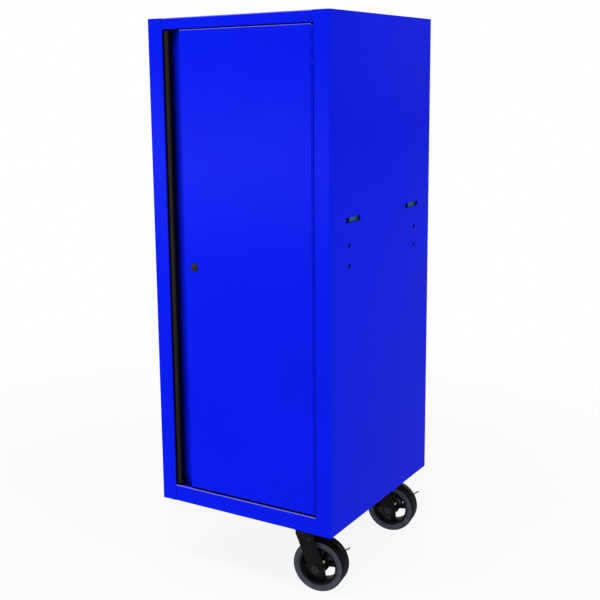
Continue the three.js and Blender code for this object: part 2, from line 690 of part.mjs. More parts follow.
// Pieces on the axle have x and z 0 on its centre line.
const FORK_OUTER = FORK_INSIDE / 2 + FORK_STEEL;
const SLEEVE_BORE = AXLE_RADIUS + SEAM;
const SLEEVE_OUTER = SLEEVE_BORE + SLEEVE_WALL;
const BEARING_BORE = SLEEVE_OUTER + SEAM;
const BEARING_OUTER = BEARING_BORE + BEARING_WALL;

function axleBolt() {
  const near = -FORK_OUTER - SEAM;
  const [corner, height] = AXLE_HEAD;
  const head = backward(hexagon(corner), near - height, near);
  return joined(head, rod(AXLE_RADIUS, near - 1, FORK_OUTER + SEAM + height + 3, 16));
}

function axleNut() {
  const far = FORK_OUTER + SEAM;
  return backward(hexagon(AXLE_HEAD[0], AXLE_RADIUS + SEAM), far, far + AXLE_HEAD[1]);
}

function ring(inner, outer, half, sides) {
  return turned([[inner, -half], [outer, -half], [outer, half], [inner, half]], sides);
}

function axleSleeve() {
  return ring(SLEEVE_BORE, SLEEVE_OUTER, FORK_INSIDE / 2 - SEAM, 14);
}

function wheelBearing() {
  return ring(BEARING_BORE, BEARING_OUTER, HUB_WIDTH / 2 - 0.5, 16);
}

function spokeWindow(angle) {
  const [low, high] = [HUB_RADIUS + 4.5, RIM_RADIUS - 6.5];
  const lean = rad(180 / SPOKE_COUNT) - SPOKE_WEB / 2 / low;
  const wide = rad(180 / SPOKE_COUNT) - SPOKE_WEB / 2 / high;
  const shape = new THREE.Shape();
  const start = rad(angle);
  shape.absarc(0, 0, high, start - wide, start + wide);
  shape.absarc(0, 0, low, start + lean, start - lean, true);
  return backward(shape, -WHEEL_WIDTH, WHEEL_WIDTH);
}

function wheelCore() {
  const half = [
    [BEARING_OUTER + SEAM, HUB_WIDTH / 2],
    [HUB_RADIUS, HUB_WIDTH / 2],
    [HUB_RADIUS, 8],
    [RIM_RADIUS - 8, 6],
    [RIM_RADIUS - 5, WHEEL_WIDTH / 2 - 3],
    [RIM_RADIUS - 1, WHEEL_WIDTH / 2 - 2],
    [RIM_RADIUS, WHEEL_WIDTH / 2 - 3],
  ];
  const profile = [...half, ...half.map(([radius, y]) => [radius, -y]).reverse()];
  const windows = Array.from({ length: SPOKE_COUNT }, (_, k) => {
    return spokeWindow(FIRST_WINDOW + (360 * k) / SPOKE_COUNT);
  });
  const nippleHole = rod(2.4, HUB_RADIUS - 2.4, HUB_RADIUS + 5, 10);
  return without(turned(profile, 24), ...windows, atNipple(nippleHole));
}

// The grease nipple stands out of the hub in front of the spokes.
function atNipple(geometry) {
  const across = -HUB_WIDTH / 2 + 8;
  return geometry.rotateZ(-Math.PI / 2).rotateY(-rad(NIPPLE_TURN)).translate(0, across, 0);
}

function greaseNipple() {
  const r = HUB_RADIUS;
  const profile = [[0, r - 2], [2, r - 2], [2, r + 0.4], [3.2, r + 0.4], [3.2, r + 2.6], [1.6, r + 3.2]];
  return atNipple(turned([...profile, [2.1, r + 4.6], [1.4, r + 6], [0, r + 6]], 8));
}

function tyre() {
  const outer = WHEEL / 2;
  const half = WHEEL_WIDTH / 2;
  const profile = [
    [TYRE_INSIDE, half - 3.4],
    [TYRE_INSIDE + 2.5, half],
    [outer - 4, half],
    [outer - 1.2, half - 1.2],
    [outer, half - 4],
  ];
  return turned([...profile, ...profile.map(([radius, y]) => [radius, -y]).reverse()], 30);
}

// A lever round the top of the wheel: pushing its tail down presses it on the tread.
function brakePedal() {
  const [px, pz] = BRAKE_PIN;
  const radius = WHEEL / 2 + BRAKE_CLEAR;
  const eye = BRAKE_PIN_RADIUS + RUNNING + BRAKE_EYE;
  const [start, stop] = [Math.atan2(pz + AXLE_DROP, px - TRAIL), rad(BRAKE_WRAP)];
  const steps = 5;
  const around = (reach, angle) => [TRAIL + reach * Math.cos(angle), reach * Math.sin(angle) - AXLE_DROP];
  const line = Array.from({ length: steps + 1 }, (_, k) => {
    return around(radius, start + ((stop - start) * k) / steps);
  });
  const tip = around(WHEEL / 2 + BRAKE_REACH, stop);
  const [half, narrow, thin] = [BRAKE_WIDTH / 2, BRAKE_STRAP / 2, BRAKE_TAIL / 2];
  const strap = backward(folded([...line, tip], BRAKE_STEEL, -1, BRAKE_BEND), -narrow, narrow);
  const edge = [[px - eye, narrow], [TRAIL, narrow], [line[steps][0], thin], [tip[0] + PAST, thin]];
  const plan = polygon([...edge, ...edge.map(([x, y]) => [x, -y]).reverse()]);
  const boss = rod(eye, -half, half, 16).translate(px, 0, pz);
  const hole = rod(BRAKE_PIN_RADIUS + RUNNING, -half - PAST, half + PAST, 12).translate(px, 0, pz);
  return without(joined(common(strap, upward(plan, -AXLE_DROP, 0)), boss), hole);
}

function brakePin() {
  return rod(BRAKE_PIN_RADIUS, -FORK_OUTER - 1.5, FORK_OUTER + 1.5, 12);
}

// Assembly

const locker = new THREE.Group();
const cabinet = new THREE.Group();
cabinet.position.set(0, -DEPTH / 2, -FIX_HEIGHT);
locker.add(cabinet);

function place(group, name, geometry, color, position = [0, 0, 0], metalness = 0.2) {
  const material = new THREE.MeshStandardMaterial({ color, metalness, roughness: 0.5 });
  const mesh = new THREE.Mesh(geometry, material);
  mesh.name = name;
  mesh.position.set(...position);
  group.add(mesh);
  return mesh;
}

function addCabinet() {
  place(cabinet, "left_side_panel", sidePanel(LATCH_STILE, false), BLUE);
  place(cabinet, "right_side_panel", sidePanel(HINGE_STILE, true), BLUE);
  place(cabinet, "top_panel", pan(HEIGHT - TOP_RAIL, HEIGHT, TOP_RETURN), BLUE);
  place(cabinet, "bottom_panel", pan(0, BOTTOM_RAIL, BOTTOM_RETURN), BLUE);
  place(cabinet, "back_panel", backPanel(), BLUE);
  place(cabinet, "caster_channel", casterChannel(), BLUE);
  place(cabinet, "magnetic_catch", magneticCatch(), BLACK);
}

function addSides() {
  for (const [side, x, turn] of [["left", SHEET + SEAM, 0], ["right", WIDTH - SHEET - SEAM, Math.PI]]) {
    for (const [end, way] of [["front", -1], ["rear", 1]]) {
      const y = DEPTH / 2 + way * (DEPTH / 2 - UPRIGHT_INSET - UPRIGHT_WIDTH / 2);
      place(cabinet, `${end}_${side}_upright`, upright(), BLUE, [x, y, 0]).rotation.z = turn;
      const slot = [x, DEPTH / 2 + (way * SLOT_SPREAD) / 2, SLOT_LEVEL];
      const plate = side === "left" ? keeper() : facingOut(keeper().scale(-1, 1, 1));
      place(cabinet, `${end}_${side}_keeper`, plate, ZINC, slot, 0.8);
    }
  }
}

function addShelves() {
  const levels = hookLevels();
  for (const [name, share] of Object.entries(SHELF_SHARES)) {
    const ledge = levels[Math.round(share * (levels.length - 1))] - BRACKET_HEIGHT / 2;
    place(cabinet, `${name}_shelf`, shelf(), BLUE, [0, 0, ledge + SEAM]);
    const x = UPRIGHT_FACE + SEAM;
    place(cabinet, `${name}_left_bracket`, bracket(), ZINC, [x, 0, ledge], 0.8);
    const right = place(cabinet, `${name}_right_bracket`, bracket(), ZINC, [WIDTH - x, DEPTH, ledge], 0.8);
    right.rotation.z = Math.PI;
  }
}

function addDoor() {
  const door = new THREE.Group();
  cabinet.add(door);
  place(door, "door_skin", doorSkin(), BLUE);
  place(door, "door_pull", doorPull(), BLACK, [0, 0, 0], 0.6);
  place(door, "door_stiffener", doorStiffener(), BLUE);
  place(door, "catch_strike", catchStrike(), ZINC, [0, 0, 0], 0.8);
  const axis = [HINGE_X, HINGE_AXIS_BACK, 0];
  place(door, "hinge_leaf_door", hingeLeaf(-1, 0), BLUE, axis);
  place(cabinet, "hinge_leaf_frame", hingeLeaf(1, 1), BLUE, axis);
  place(cabinet, "hinge_pin", hingePin(), STEEL, axis, 0.9);
  const lock = [LOCK_X, 0, LOCK_HEIGHT];
  place(door, "lock_housing", lockHousing(), BLACK, lock, 0.6);
  place(door, "lock_nut", lockNut(), ZINC, lock, 0.8);
  place(door, "lock_plug", lockPlug(), BLACK, lock, 0.6);
  place(door, "lock_cam", lockCam(), ZINC, lock, 0.8);
}

function addCaster(end, y) {
  const caster = new THREE.Group();
  caster.position.set(CASTER_X, y, -SEAM);
  cabinet.add(caster);
  place(caster, `${end}_caster_plate`, casterPlate(), BLACK);
  place(caster, `${end}_kingpin`, kingpin(), BLACK);
  const swivel = new THREE.Group();
  swivel.rotation.z = rad(CASTER_TURN);
  caster.add(swivel);
  place(swivel, `${end}_fork`, fork(), BLACK);
  place(swivel, `${end}_brake_pedal`, brakePedal(), BLACK);
  place(swivel, `${end}_brake_pin`, brakePin(), BLACK, [BRAKE_PIN[0], 0, BRAKE_PIN[1]], 0.9);
  const axle = [TRAIL, 0, -AXLE_DROP];
  place(swivel, `${end}_axle_bolt`, axleBolt(), BLACK, axle, 0.9);
  place(swivel, `${end}_axle_nut`, axleNut(), BLACK, axle, 0.9);
  place(swivel, `${end}_axle_sleeve`, axleSleeve(), STEEL, axle, 0.9);
  place(swivel, `${end}_wheel_bearing`, wheelBearing(), STEEL, axle, 0.9);
  place(swivel, `${end}_wheel_core`, wheelCore(), BLACK, axle);
  place(swivel, `${end}_grease_nipple`, greaseNipple(), BRASS, axle, 0.9);
  place(swivel, `${end}_tyre`, tyre(), RUBBER, axle, 0);
}

addCabinet();
addSides();
addShelves();
addDoor();
addCaster("front", CASTER_INSET);
addCaster("rear", DEPTH - CASTER_INSET);

export default locker;
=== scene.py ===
"""Tool chest side locker: finishes, casters, lock, small hardware, camera and light."""

import json
import math

import bmesh
import bpy
from mathutils import Matrix, Vector

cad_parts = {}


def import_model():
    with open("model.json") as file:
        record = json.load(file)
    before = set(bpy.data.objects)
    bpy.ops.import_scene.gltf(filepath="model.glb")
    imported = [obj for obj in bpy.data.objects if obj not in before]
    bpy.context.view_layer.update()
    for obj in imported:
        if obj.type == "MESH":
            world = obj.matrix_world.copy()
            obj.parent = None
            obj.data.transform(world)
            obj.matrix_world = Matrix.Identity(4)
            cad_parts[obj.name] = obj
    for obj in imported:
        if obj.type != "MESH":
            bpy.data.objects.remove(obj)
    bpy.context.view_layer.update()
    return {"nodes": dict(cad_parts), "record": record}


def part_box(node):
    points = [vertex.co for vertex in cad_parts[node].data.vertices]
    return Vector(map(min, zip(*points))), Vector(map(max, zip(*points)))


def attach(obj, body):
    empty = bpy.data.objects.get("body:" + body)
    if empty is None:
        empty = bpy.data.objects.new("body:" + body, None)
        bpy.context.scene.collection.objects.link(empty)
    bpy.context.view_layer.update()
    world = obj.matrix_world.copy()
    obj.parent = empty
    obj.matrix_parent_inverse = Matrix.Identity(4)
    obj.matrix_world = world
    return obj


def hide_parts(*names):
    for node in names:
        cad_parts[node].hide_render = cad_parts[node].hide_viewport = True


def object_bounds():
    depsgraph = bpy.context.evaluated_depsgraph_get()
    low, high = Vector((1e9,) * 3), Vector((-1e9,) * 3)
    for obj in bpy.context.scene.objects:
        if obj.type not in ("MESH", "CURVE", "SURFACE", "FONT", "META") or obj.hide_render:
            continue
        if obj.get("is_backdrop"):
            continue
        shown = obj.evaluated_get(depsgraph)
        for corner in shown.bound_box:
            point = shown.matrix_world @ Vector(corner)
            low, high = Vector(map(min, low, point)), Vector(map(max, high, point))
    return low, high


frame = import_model()
nodes = frame["nodes"]

MM = 0.001
Y, Z = Vector((0, 1, 0)), Vector((0, 0, 1))


# Materials

EVEN = (1, 1, 1)
UPRIGHT_LINES = (1, 1, 0.01)
ROUND_LINES = (1, 0.05, 1)
NOISE_DETAIL = 3
NOISE_RANGE = (0.25, 0.75)
SHADE_STOPS = (0.3, 0.7)
# Where and how strongly the painted edge highlight pales rounded edges that turn up to the light.
HIGHLIGHT_SLOPES = (0.1, 0.4, 0.96, 0.995)
HIGHLIGHT_SHARE = 0.7
# The ambient-occlusion range and samples of the painted shade in folds, seams and pockets.
SHADE_AO_RANGE = (0.42, 0.7)
SHADE_AO_SAMPLES = 8


def srgb(red, green, blue):
    """The linear colour of a screen colour from 0 to 255."""
    def linear(value):
        value /= 255
        return value / 12.92 if value <= 0.04045 else ((value + 0.055) / 1.055) ** 2.4
    return (linear(red), linear(green), linear(blue), 1.0)


def grain(tree, scale, stretch):
    """Noise fixed to the object, with scale features in a metre."""
    place = tree.nodes.new("ShaderNodeTexCoord")
    mapping = tree.nodes.new("ShaderNodeMapping")
    mapping.inputs["Scale"].default_value = stretch
    noise = tree.nodes.new("ShaderNodeTexNoise")
    noise.inputs["Scale"].default_value = scale
    noise.inputs["Detail"].default_value = NOISE_DETAIL
    tree.links.new(place.outputs["Object"], mapping.inputs["Vector"])
    tree.links.new(mapping.outputs["Vector"], noise.inputs["Vector"])
    return noise.outputs["Fac"]


def spangle(tree, scale):
    """The crystal facets of a zinc coat, one grey per cell."""
    place = tree.nodes.new("ShaderNodeTexCoord")
    cells = tree.nodes.new("ShaderNodeTexVoronoi")
    cells.inputs["Scale"].default_value = scale
    tree.links.new(place.outputs["Object"], cells.inputs["Vector"])
    grey = tree.nodes.new("ShaderNodeRGBToBW")
    tree.links.new(cells.outputs["Color"], grey.inputs["Color"])
    return grey.outputs["Val"]


def spread(tree, source, low, high):
    """A noise value moved to the range from low to high."""
    node = tree.nodes.new("ShaderNodeMapRange")
    node.inputs["From Min"].default_value = NOISE_RANGE[0]
    node.inputs["From Max"].default_value = NOISE_RANGE[1]
    node.inputs["To Min"].default_value = low
    node.inputs["To Max"].default_value = high
    tree.links.new(source, node.inputs["Value"])
    return node.outputs["Result"]


def shades(tree, source, dark, light):
    """A noise value as a colour between two shades."""
    ramp = tree.nodes.new("ShaderNodeValToRGB")
    for stop, position, color in zip(ramp.color_ramp.elements, SHADE_STOPS, (dark, light)):
        stop.position = position
        stop.color = color
    tree.links.new(source, ramp.inputs["Fac"])
    return ramp.outputs["Color"]


def relief(tree, height, depth):
    """A surface raised by a noise value, with its depth in metres."""
    node = tree.nodes.new("ShaderNodeBump")
    node.inputs["Strength"].default_value = 1.0
    node.inputs["Distance"].default_value = depth
    tree.links.new(height, node.inputs["Height"])
    return node.outputs["Normal"]


def painted_edge_highlight(tree, color, pale):
    """A colour that pales to a painted highlight where a rounded edge turns up to the light."""
    surface = tree.nodes.new("ShaderNodeNewGeometry")
    upward = tree.nodes.new("ShaderNodeSeparateXYZ")
    tree.links.new(surface.outputs["Normal"], upward.inputs["Vector"])
    share = tree.nodes.new("ShaderNodeValToRGB")
    stops = share.color_ramp.elements
    stops[0].position, stops[1].position = HIGHLIGHT_SLOPES[0], HIGHLIGHT_SLOPES[3]
    stops[0].color = stops[1].color = (0, 0, 0, 1)
    for position in HIGHLIGHT_SLOPES[1:3]:
        stops.new(position).color = (HIGHLIGHT_SHARE, HIGHLIGHT_SHARE, HIGHLIGHT_SHARE, 1)
    tree.links.new(upward.outputs["Z"], share.inputs["Fac"])
    mix = tree.nodes.new("ShaderNodeMix")
    mix.data_type = "RGBA"
    mix.inputs["B"].default_value = pale
    tree.links.new(share.outputs["Color"], mix.inputs["Factor"])
    tree.links.new(color, mix.inputs["A"])
    return mix.outputs["Result"]


def painted_crevice_shade(tree, color, reach, darkest):
    """A colour darkened as painted shade in folds, seams and pockets narrower than the reach."""
    occlusion = tree.nodes.new("ShaderNodeAmbientOcclusion")
    occlusion.samples = SHADE_AO_SAMPLES
    occlusion.inputs["Distance"].default_value = reach
    share = tree.nodes.new("ShaderNodeMapRange")
    share.inputs["From Min"].default_value = SHADE_AO_RANGE[0]
    share.inputs["From Max"].default_value = SHADE_AO_RANGE[1]
    share.inputs["To Min"].default_value = darkest
    tree.links.new(occlusion.outputs["AO"], share.inputs["Value"])
    scale = tree.nodes.new("ShaderNodeVectorMath")
    scale.operation = "SCALE"
    tree.links.new(color, scale.inputs[0])
    tree.links.new(share.outputs["Result"], scale.inputs["Scale"])
    return scale.outputs["Vector"]


def finish(name, dark, light, rough, tone, peel, metallic=0.0, specular=0.5, tint=EVEN, edges=None,
           folds=None):
    """A material from two shades, a range of roughness and two grains.

    tone is the (scale, stretch) of the mottling, where no stretch stands for crystal facets, and
    peel the (scale, stretch, depth) of the relief. edges is the colour of a painted highlight on the
    rounded upper edges, and folds the (reach, darkest share) of a painted shade in folds and seams.
    """
    material = bpy.data.materials.new(name)
    material.use_nodes = True
    tree = material.node_tree
    shader = tree.nodes["Principled BSDF"]
    mottle = spangle(tree, tone[0]) if tone[1] is None else grain(tree, *tone)
    fine = grain(tree, *peel[:2])
    color = shades(tree, mottle, dark, light)
    # Painted highlight on rounded edges that turn up to the light.
    if edges:
        color = painted_edge_highlight(tree, color, edges)
    # Painted shade in folds, seams and pockets.
    if folds:
        color = painted_crevice_shade(tree, color, *folds)
    tree.links.new(color, shader.inputs["Base Color"])
    tree.links.new(spread(tree, fine, *rough), shader.inputs["Roughness"])
    tree.links.new(relief(tree, fine, peel[2]), shader.inputs["Normal"])
    shader.inputs["Metallic"].default_value = metallic
    shader.inputs["Specular IOR Level"].default_value = specular
    shader.inputs["Specular Tint"].default_value = (*tint, 1.0)
    return material


materials = {
    # Blue powder coat with a painted highlight on upturned rounded edges and painted shade in its
    # folds.
    "blue_paint": finish(
        "blue_powder_coat_painted_highlight_and_shade", srgb(6, 24, 213), srgb(8, 27, 220), rough=(0.2, 0.28),
        tone=(2.5, EVEN), peel=(700, EVEN, 0.00002), specular=0.008, tint=(0.75, 1, 1),
        edges=srgb(140, 128, 236), folds=(0.03, 0.04)),
    "pull_black": finish(
        "black_anodised_pull", srgb(16, 15, 12), srgb(23, 21, 17), rough=(0.45, 0.6),
        tone=(900, UPRIGHT_LINES), peel=(1500, UPRIGHT_LINES, 0.00002), specular=0.05),
    # Zinc with painted shade in its folds, seams and slots.
    "zinc": finish(
        "zinc_plate_painted_shade", srgb(132, 142, 146), srgb(170, 178, 180), rough=(0.3, 0.45),
        tone=(150, None), peel=(600, EVEN, 0.00002), metallic=0.85, folds=(0.03, 0.12)),
    # Keepers seen through the side slots: zinc painted dark blue-green as a painted shade inside the
    # slot and a painted reflection of the blue paint.
    "keeper_shade_zinc": finish(
        "keeper_zinc_painted_shade_and_blue_reflection", srgb(30, 80, 116), srgb(40, 92, 132), rough=(0.35, 0.5),
        tone=(150, None), peel=(600, EVEN, 0.00002), metallic=0.3, specular=0.1),
    "caster_black": finish(
        "black_fork_paint", srgb(12, 12, 13), srgb(19, 19, 21), rough=(0.3, 0.42),
        tone=(40, EVEN), peel=(900, EVEN, 0.00004), specular=0.05),
    "wheel_black": finish(
        "black_moulded_core", srgb(8, 8, 9), srgb(14, 14, 15), rough=(0.45, 0.6),
        tone=(60, EVEN), peel=(1400, EVEN, 0.00004), specular=0.06),
    "tyre": finish(
        "grey_black_rubber", srgb(50, 53, 62), srgb(68, 72, 83), rough=(0.55, 0.7),
        tone=(90, EVEN), peel=(1800, EVEN, 0.00006), specular=0.2),
    "steel": finish(
        "bright_steel", srgb(168, 170, 172), srgb(196, 198, 200), rough=(0.22, 0.36),
        tone=(500, ROUND_LINES), peel=(1500, ROUND_LINES, 0.00002), metallic=1.0),
    "black_oxide": finish(
        "black_oxide_steel", srgb(28, 28, 30), srgb(42, 42, 45), rough=(0.3, 0.42),
        tone=(500, ROUND_LINES), peel=(1500, ROUND_LINES, 0.00002), metallic=0.6, specular=0.2),
    "tread": finish(
        "black_tread_rubber", srgb(6, 6, 7), srgb(11, 11, 12), rough=(0.6, 0.75),
        tone=(90, EVEN), peel=(1800, EVEN, 0.00006), specular=0.04),
    "brass": finish(
        "pale_brass", srgb(214, 202, 172), srgb(232, 222, 198), rough=(0.3, 0.45),
        tone=(400, EVEN), peel=(1200, EVEN, 0.00002), metallic=0.35),
    "lock_black": finish(
        "black_lock_enamel", srgb(12, 12, 14), srgb(20, 20, 22), rough=(0.3, 0.42),
        tone=(200, EVEN), peel=(1500, EVEN, 0.00002), specular=0.1),
    "catch_black": finish(
        "black_catch_plastic", srgb(24, 24, 25), srgb(33, 33, 34), rough=(0.45, 0.6),
        tone=(120, EVEN), peel=(1600, EVEN, 0.00005)),
}


# Mesh helpers; outlines and profiles are in millimetres, placed points in metres.

FILLET_LIMIT = 0.49
EDGE_STEPS = 2
HEX_ROUND = 0.5
MERGE_REACH = 1e-7
PIECE_SHARP = 40
SOLID_SHARP = 50
FLAT_LIMIT = 1
FINE_EDGE = 0.3


def sheet(rows, ring=False, loop=False, caps=False):
    """A skin over rows of points: ring closes each row, loop joins the last row to the first."""
    bm = bmesh.new()
    grid = [[bm.verts.new(point) for point in row] for row in rows]
    height, width = len(grid), len(grid[0])
    for i in range(height if loop else height - 1):
        for j in range(width if ring else width - 1):
            down, right = (i + 1) % height, (j + 1) % width
            bm.faces.new((grid[i][j], grid[i][right], grid[down][right], grid[down][j]))
    if caps:
        bm.faces.new(grid[0])
        bm.faces.new(reversed(grid[-1]))
    return bm


def lathe(profile, centre, axis, sides):
    """A (radius, along) profile, turned about an axis through centre."""
    side = axis.orthogonal().normalized()
    across = axis.cross(side)
    rows = []
    for radius, along in profile:
        row = []
        for k in range(sides):
            angle = 2 * math.pi * k / sides
            spoke = side * math.cos(angle) + across * math.sin(angle)
            row.append(centre + (axis * along + spoke * radius) * MM)
        rows.append(row)
    return sheet(rows, ring=True, loop=profile[0][0] > 0 and profile[-1][0] > 0)


def mirrored(half):
    """A whole (radius, along) profile from one half of it."""
    return half + [(radius, -along) for radius, along in reversed(half)]


def fillet(outline, radius, steps, closed=True):
    """A 2-D outline with its corners rounded; the ends of an open one stay."""
    rounded = []
    for i, corner in enumerate(outline):
        here = Vector(corner)
        if not closed and i in (0, len(outline) - 1):
            rounded.append(here)
            continue
        before = here - Vector(outline[i - 1])
        after = Vector(outline[(i + 1) % len(outline)]) - here
        cut = min(radius, FILLET_LIMIT * before.length, FILLET_LIMIT * after.length)
        start, end = here - before.normalized() * cut, here + after.normalized() * cut
        for k in range(steps + 1):
            t = k / steps
            rounded.append(start * (1 - t) ** 2 + here * 2 * t * (1 - t) + end * t ** 2)
    return rounded


def rectangle(left, right, low, high):
    """The four corners of an outline."""
    return [(left, low), (right, low), (right, high), (left, high)]


def circle(radius, sides):
    """A round outline."""
    return [(radius * math.cos(2 * math.pi * k / sides), radius * math.sin(2 * math.pi * k / sides))
            for k in range(sides)]


def hexagon(corner, bore=0):
    """A hexagon outline and, with a bore, its hole."""
    hole = [circle(bore, sides=32)] if bore else []
    return [fillet(circle(corner, sides=6), HEX_ROUND, steps=2)] + hole


def plate(outlines, thick, edge, place):
    """A flat plate with holes from its outlines, its edges rounded."""
    curve = bpy.data.curves.new("outline", "CURVE")
    curve.dimensions = "2D"
    curve.fill_mode = "BOTH"
    curve.extrude = (thick / 2 - edge) * MM
    curve.bevel_depth = edge * MM
    curve.bevel_resolution = EDGE_STEPS
    curve.offset = -edge * MM
    for outline in outlines:
        spline = curve.splines.new("POLY")
        spline.points.add(len(outline) - 1)
        for point, (x, y) in zip(spline.points, outline):
            point.co = (x * MM, y * MM, 0, 1)
        spline.use_cyclic_u = True
    made = bpy.data.objects.new("outline", curve)
    bm = bmesh.new()
    bm.from_mesh(made.to_mesh())
    made.to_mesh_clear()
    bpy.data.objects.remove(made)
    bpy.data.curves.remove(curve)
    bmesh.ops.transform(bm, matrix=place, verts=bm.verts)
    return bm


def lying(centre):
    """The placing of a plate that lies flat, its outline in x and y."""
    return Matrix.Translation(centre)


def facing_front(centre):
    """The placing of a plate that faces the front, its outline in x and z."""
    return Matrix.Translation(centre) @ Matrix.Rotation(math.pi / 2, 4, "X")


def together(*parts):
    """Several skins as one mesh."""
    whole = bmesh.new()
    for part in parts:
        mesh = bpy.data.meshes.new("part")
        part.to_mesh(mesh)
        part.free()
        whole.from_mesh(mesh)
        bpy.data.meshes.remove(mesh)
    return whole


def shade(mesh, sharp):
    """Smooth shading, with sharp edges above an angle in degrees."""
    mesh.shade_smooth()
    mesh.set_sharp_from_angle(angle=math.radians(sharp))


def piece(name, bm, body, slot, replaced=()):
    """A finished mesh as an object on a body, in the finish of a slot."""
    bmesh.ops.remove_doubles(bm, verts=bm.verts, dist=MERGE_REACH)
    bmesh.ops.recalc_face_normals(bm, faces=bm.faces)
    mesh = bpy.data.meshes.new(name)
    bm.to_mesh(mesh)
    bm.free()
    mesh.materials.append(materials[slot])
    made = bpy.data.objects.new(name, mesh)
    bpy.context.scene.collection.objects.link(made)
    shade(mesh, PIECE_SHARP)
    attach(made, body)
    if replaced:
        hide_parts(*replaced)
    return made


def soften(made):
    """Rounds the edges of a solid without touching its own mesh."""
    flat = made.modifiers.new("flat_faces", "DECIMATE")
    flat.decimate_type = "DISSOLVE"
    flat.angle_limit = math.radians(FLAT_LIMIT)
    edge = made.modifiers.new("soft_edges", "BEVEL")
    edge.width = FINE_EDGE * MM
    edge.segments = EDGE_STEPS
    edge.limit_method = "ANGLE"
    edge.angle_limit = math.radians(SOLID_SHARP)


def middle(node):
    """The middle of a node's box."""
    low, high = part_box(node)
    return (low + high) / 2


# The frame's own solids

SHARP_NODES = ("hinge_pin", "hinge_leaf_door", "hinge_leaf_frame", "top_panel", "bottom_panel",
               "left_side_panel", "right_side_panel")


def dress_solids():
    """Gives every solid of the frame its finish, smooth bends and softened edges."""
    for row in frame["record"]["subparts"]:
        solid = nodes[row["node"]]
        solid.data.materials.clear()
        # Keepers get zinc darkened and tinted blue-green, a painted shade and painted reflection.
        slot = "keeper_shade_zinc" if row["node"].endswith("_keeper") else row["material_slot"]
        solid.data.materials.append(materials[slot])
        shade(solid.data, SOLID_SHARP)
        if row["node"] not in SHARP_NODES:
            soften(solid)


# Casters, in millimetres from the swivel axis at the top of the plate; the wheel trails to +x.

TRAIL = 38
AXLE_DROP = 104.7


class Caster:
    """One caster: its end of the locker, its swivel axis and its wheel centre."""

    def __init__(self, end):
        self.end = end
        self.wheel = middle(f"{end}_tyre")
        self.ahead = self.wheel - middle(f"{end}_kingpin")
        self.ahead.z = 0
        self.ahead.normalize()
        self.axle = Z.cross(self.ahead)
        self.origin = self.wheel - self.ahead * TRAIL * MM + Z * AXLE_DROP * MM

    def at(self, x, y, z):
        """A point of the caster, along the trail, along the axle and up."""
        return self.origin + (self.ahead * x + self.axle * y + Z * z) * MM

    def facing(self, x, y, z):
        """The placing of a plate in the wheel's plane, its outline along the trail and up."""
        turn = Matrix((self.ahead, Z, -self.axle)).transposed().to_4x4()
        return Matrix.Translation(self.at(x, y, z)) @ turn

    def name(self, part):
        """The name of one of the caster's nodes, bodies or pieces."""
        return f"{self.end}_{part}"


# The pressed fork: a round crown, and two tapered legs with round feet at the axle.

CROWN_TOP = -14
CROWN_RADIUS = 36
CROWN_STEPS = 10
FORK_OUTER = 35
FORK_STEEL = 5
FORK_EDGE = 1.6
FORK_BEND = 9
BEND_STEPS = 8
LEG_FRONT = -15
LEG_REAR = 27
LEG_TOP = -23
LEG_END = 19
LEG_STEPS = 16
FOOT_ANGLES = range(4, 120, 8)


def leg_tangent(top, way):
    """Where a straight leg edge from its top meets the round end at the axle."""
    from_axle = Vector((top - TRAIL, LEG_TOP + AXLE_DROP))
    angle = math.atan2(from_axle.y, from_axle.x) + way * math.acos(LEG_END / from_axle.length)
    return TRAIL + LEG_END * math.cos(angle), LEG_END * math.sin(angle) - AXLE_DROP


def leg_edge(z, top, way):
    """The x of one leg edge at a height: way 1 is the front edge and -1 the rear edge."""
    touch_x, touch_z = leg_tangent(top, way)
    if z >= touch_z:
        share = (z - touch_z) / (LEG_TOP - touch_z)
        return touch_x + (top - touch_x) * min(share, 1)
    rise = z + AXLE_DROP
    return TRAIL - way * math.sqrt(max(LEG_END ** 2 - rise ** 2, 0))


def fork_path():
    """The fork's outer face from foot to foot as (y, z) with the way into the steel."""
    foot = [-AXLE_DROP - LEG_END * math.cos(math.radians(a)) for a in FOOT_ANGLES]
    rise = [foot[-1] + (LEG_TOP - foot[-1]) * k / LEG_STEPS for k in range(1, LEG_STEPS + 1)]
    path = [(-FORK_OUTER, z, (1, 0)) for z in foot + rise]
    inside = FORK_OUTER - FORK_BEND
    for k in range(1, BEND_STEPS + 1):
        angle = math.radians(180 - 90 * k / BEND_STEPS)
        y, z = math.cos(angle), math.sin(angle)
        path.append((-inside + FORK_BEND * y, LEG_TOP + FORK_BEND * z, (-y, -z)))
    path += [(-inside + inside * k / CROWN_STEPS, CROWN_TOP, (0, -1))
             for k in range(1, CROWN_STEPS + 1)]
    return path + [(-y, z, (-way[0], way[1])) for y, z, way in path[-2::-1]]


def fork_span(y, z):
    """The fork's front and rear edge at a point of its path."""
    if z <= LEG_TOP:
        return leg_edge(z, LEG_FRONT, 1), leg_edge(z, LEG_REAR, -1)
    chord = math.sqrt(max(CROWN_RADIUS ** 2 - y ** 2, 0))
    return min(LEG_FRONT, -chord), max(LEG_REAR, chord)


def fork(caster):
    """The fork as one bent strip with rounded edges."""
    rows = []
    for y, z, (in_y, in_z) in fork_path():
        section = rectangle(*fork_span(y, z), 0, FORK_STEEL)
        rows.append([caster.at(x, y + in_y * deep, z + in_z * deep)
                     for x, deep in fillet(section, FORK_EDGE, steps=3)])
    piece(caster.name("fork_shell"), sheet(rows, ring=True, caps=True), caster.name("swivel"),
          "caster_black", [caster.name("fork")])


# The axle bolt: hexagons, washers and thread.

AXLE_RADIUS = 6
AXLE_PLAY = 0.3
HEAD_CORNER = 10.5
HEAD_HEIGHT = 5.9
HEAD_EDGE = 0.9
WASHER_RADIUS = 12
WASHER_STEEL = 1.6
WASHER_EDGE = 0.4
THREAD_TURNS = 4
THREAD_PITCH = 1
THREAD_DEPTH = 0.5
THREAD_END = 2.8


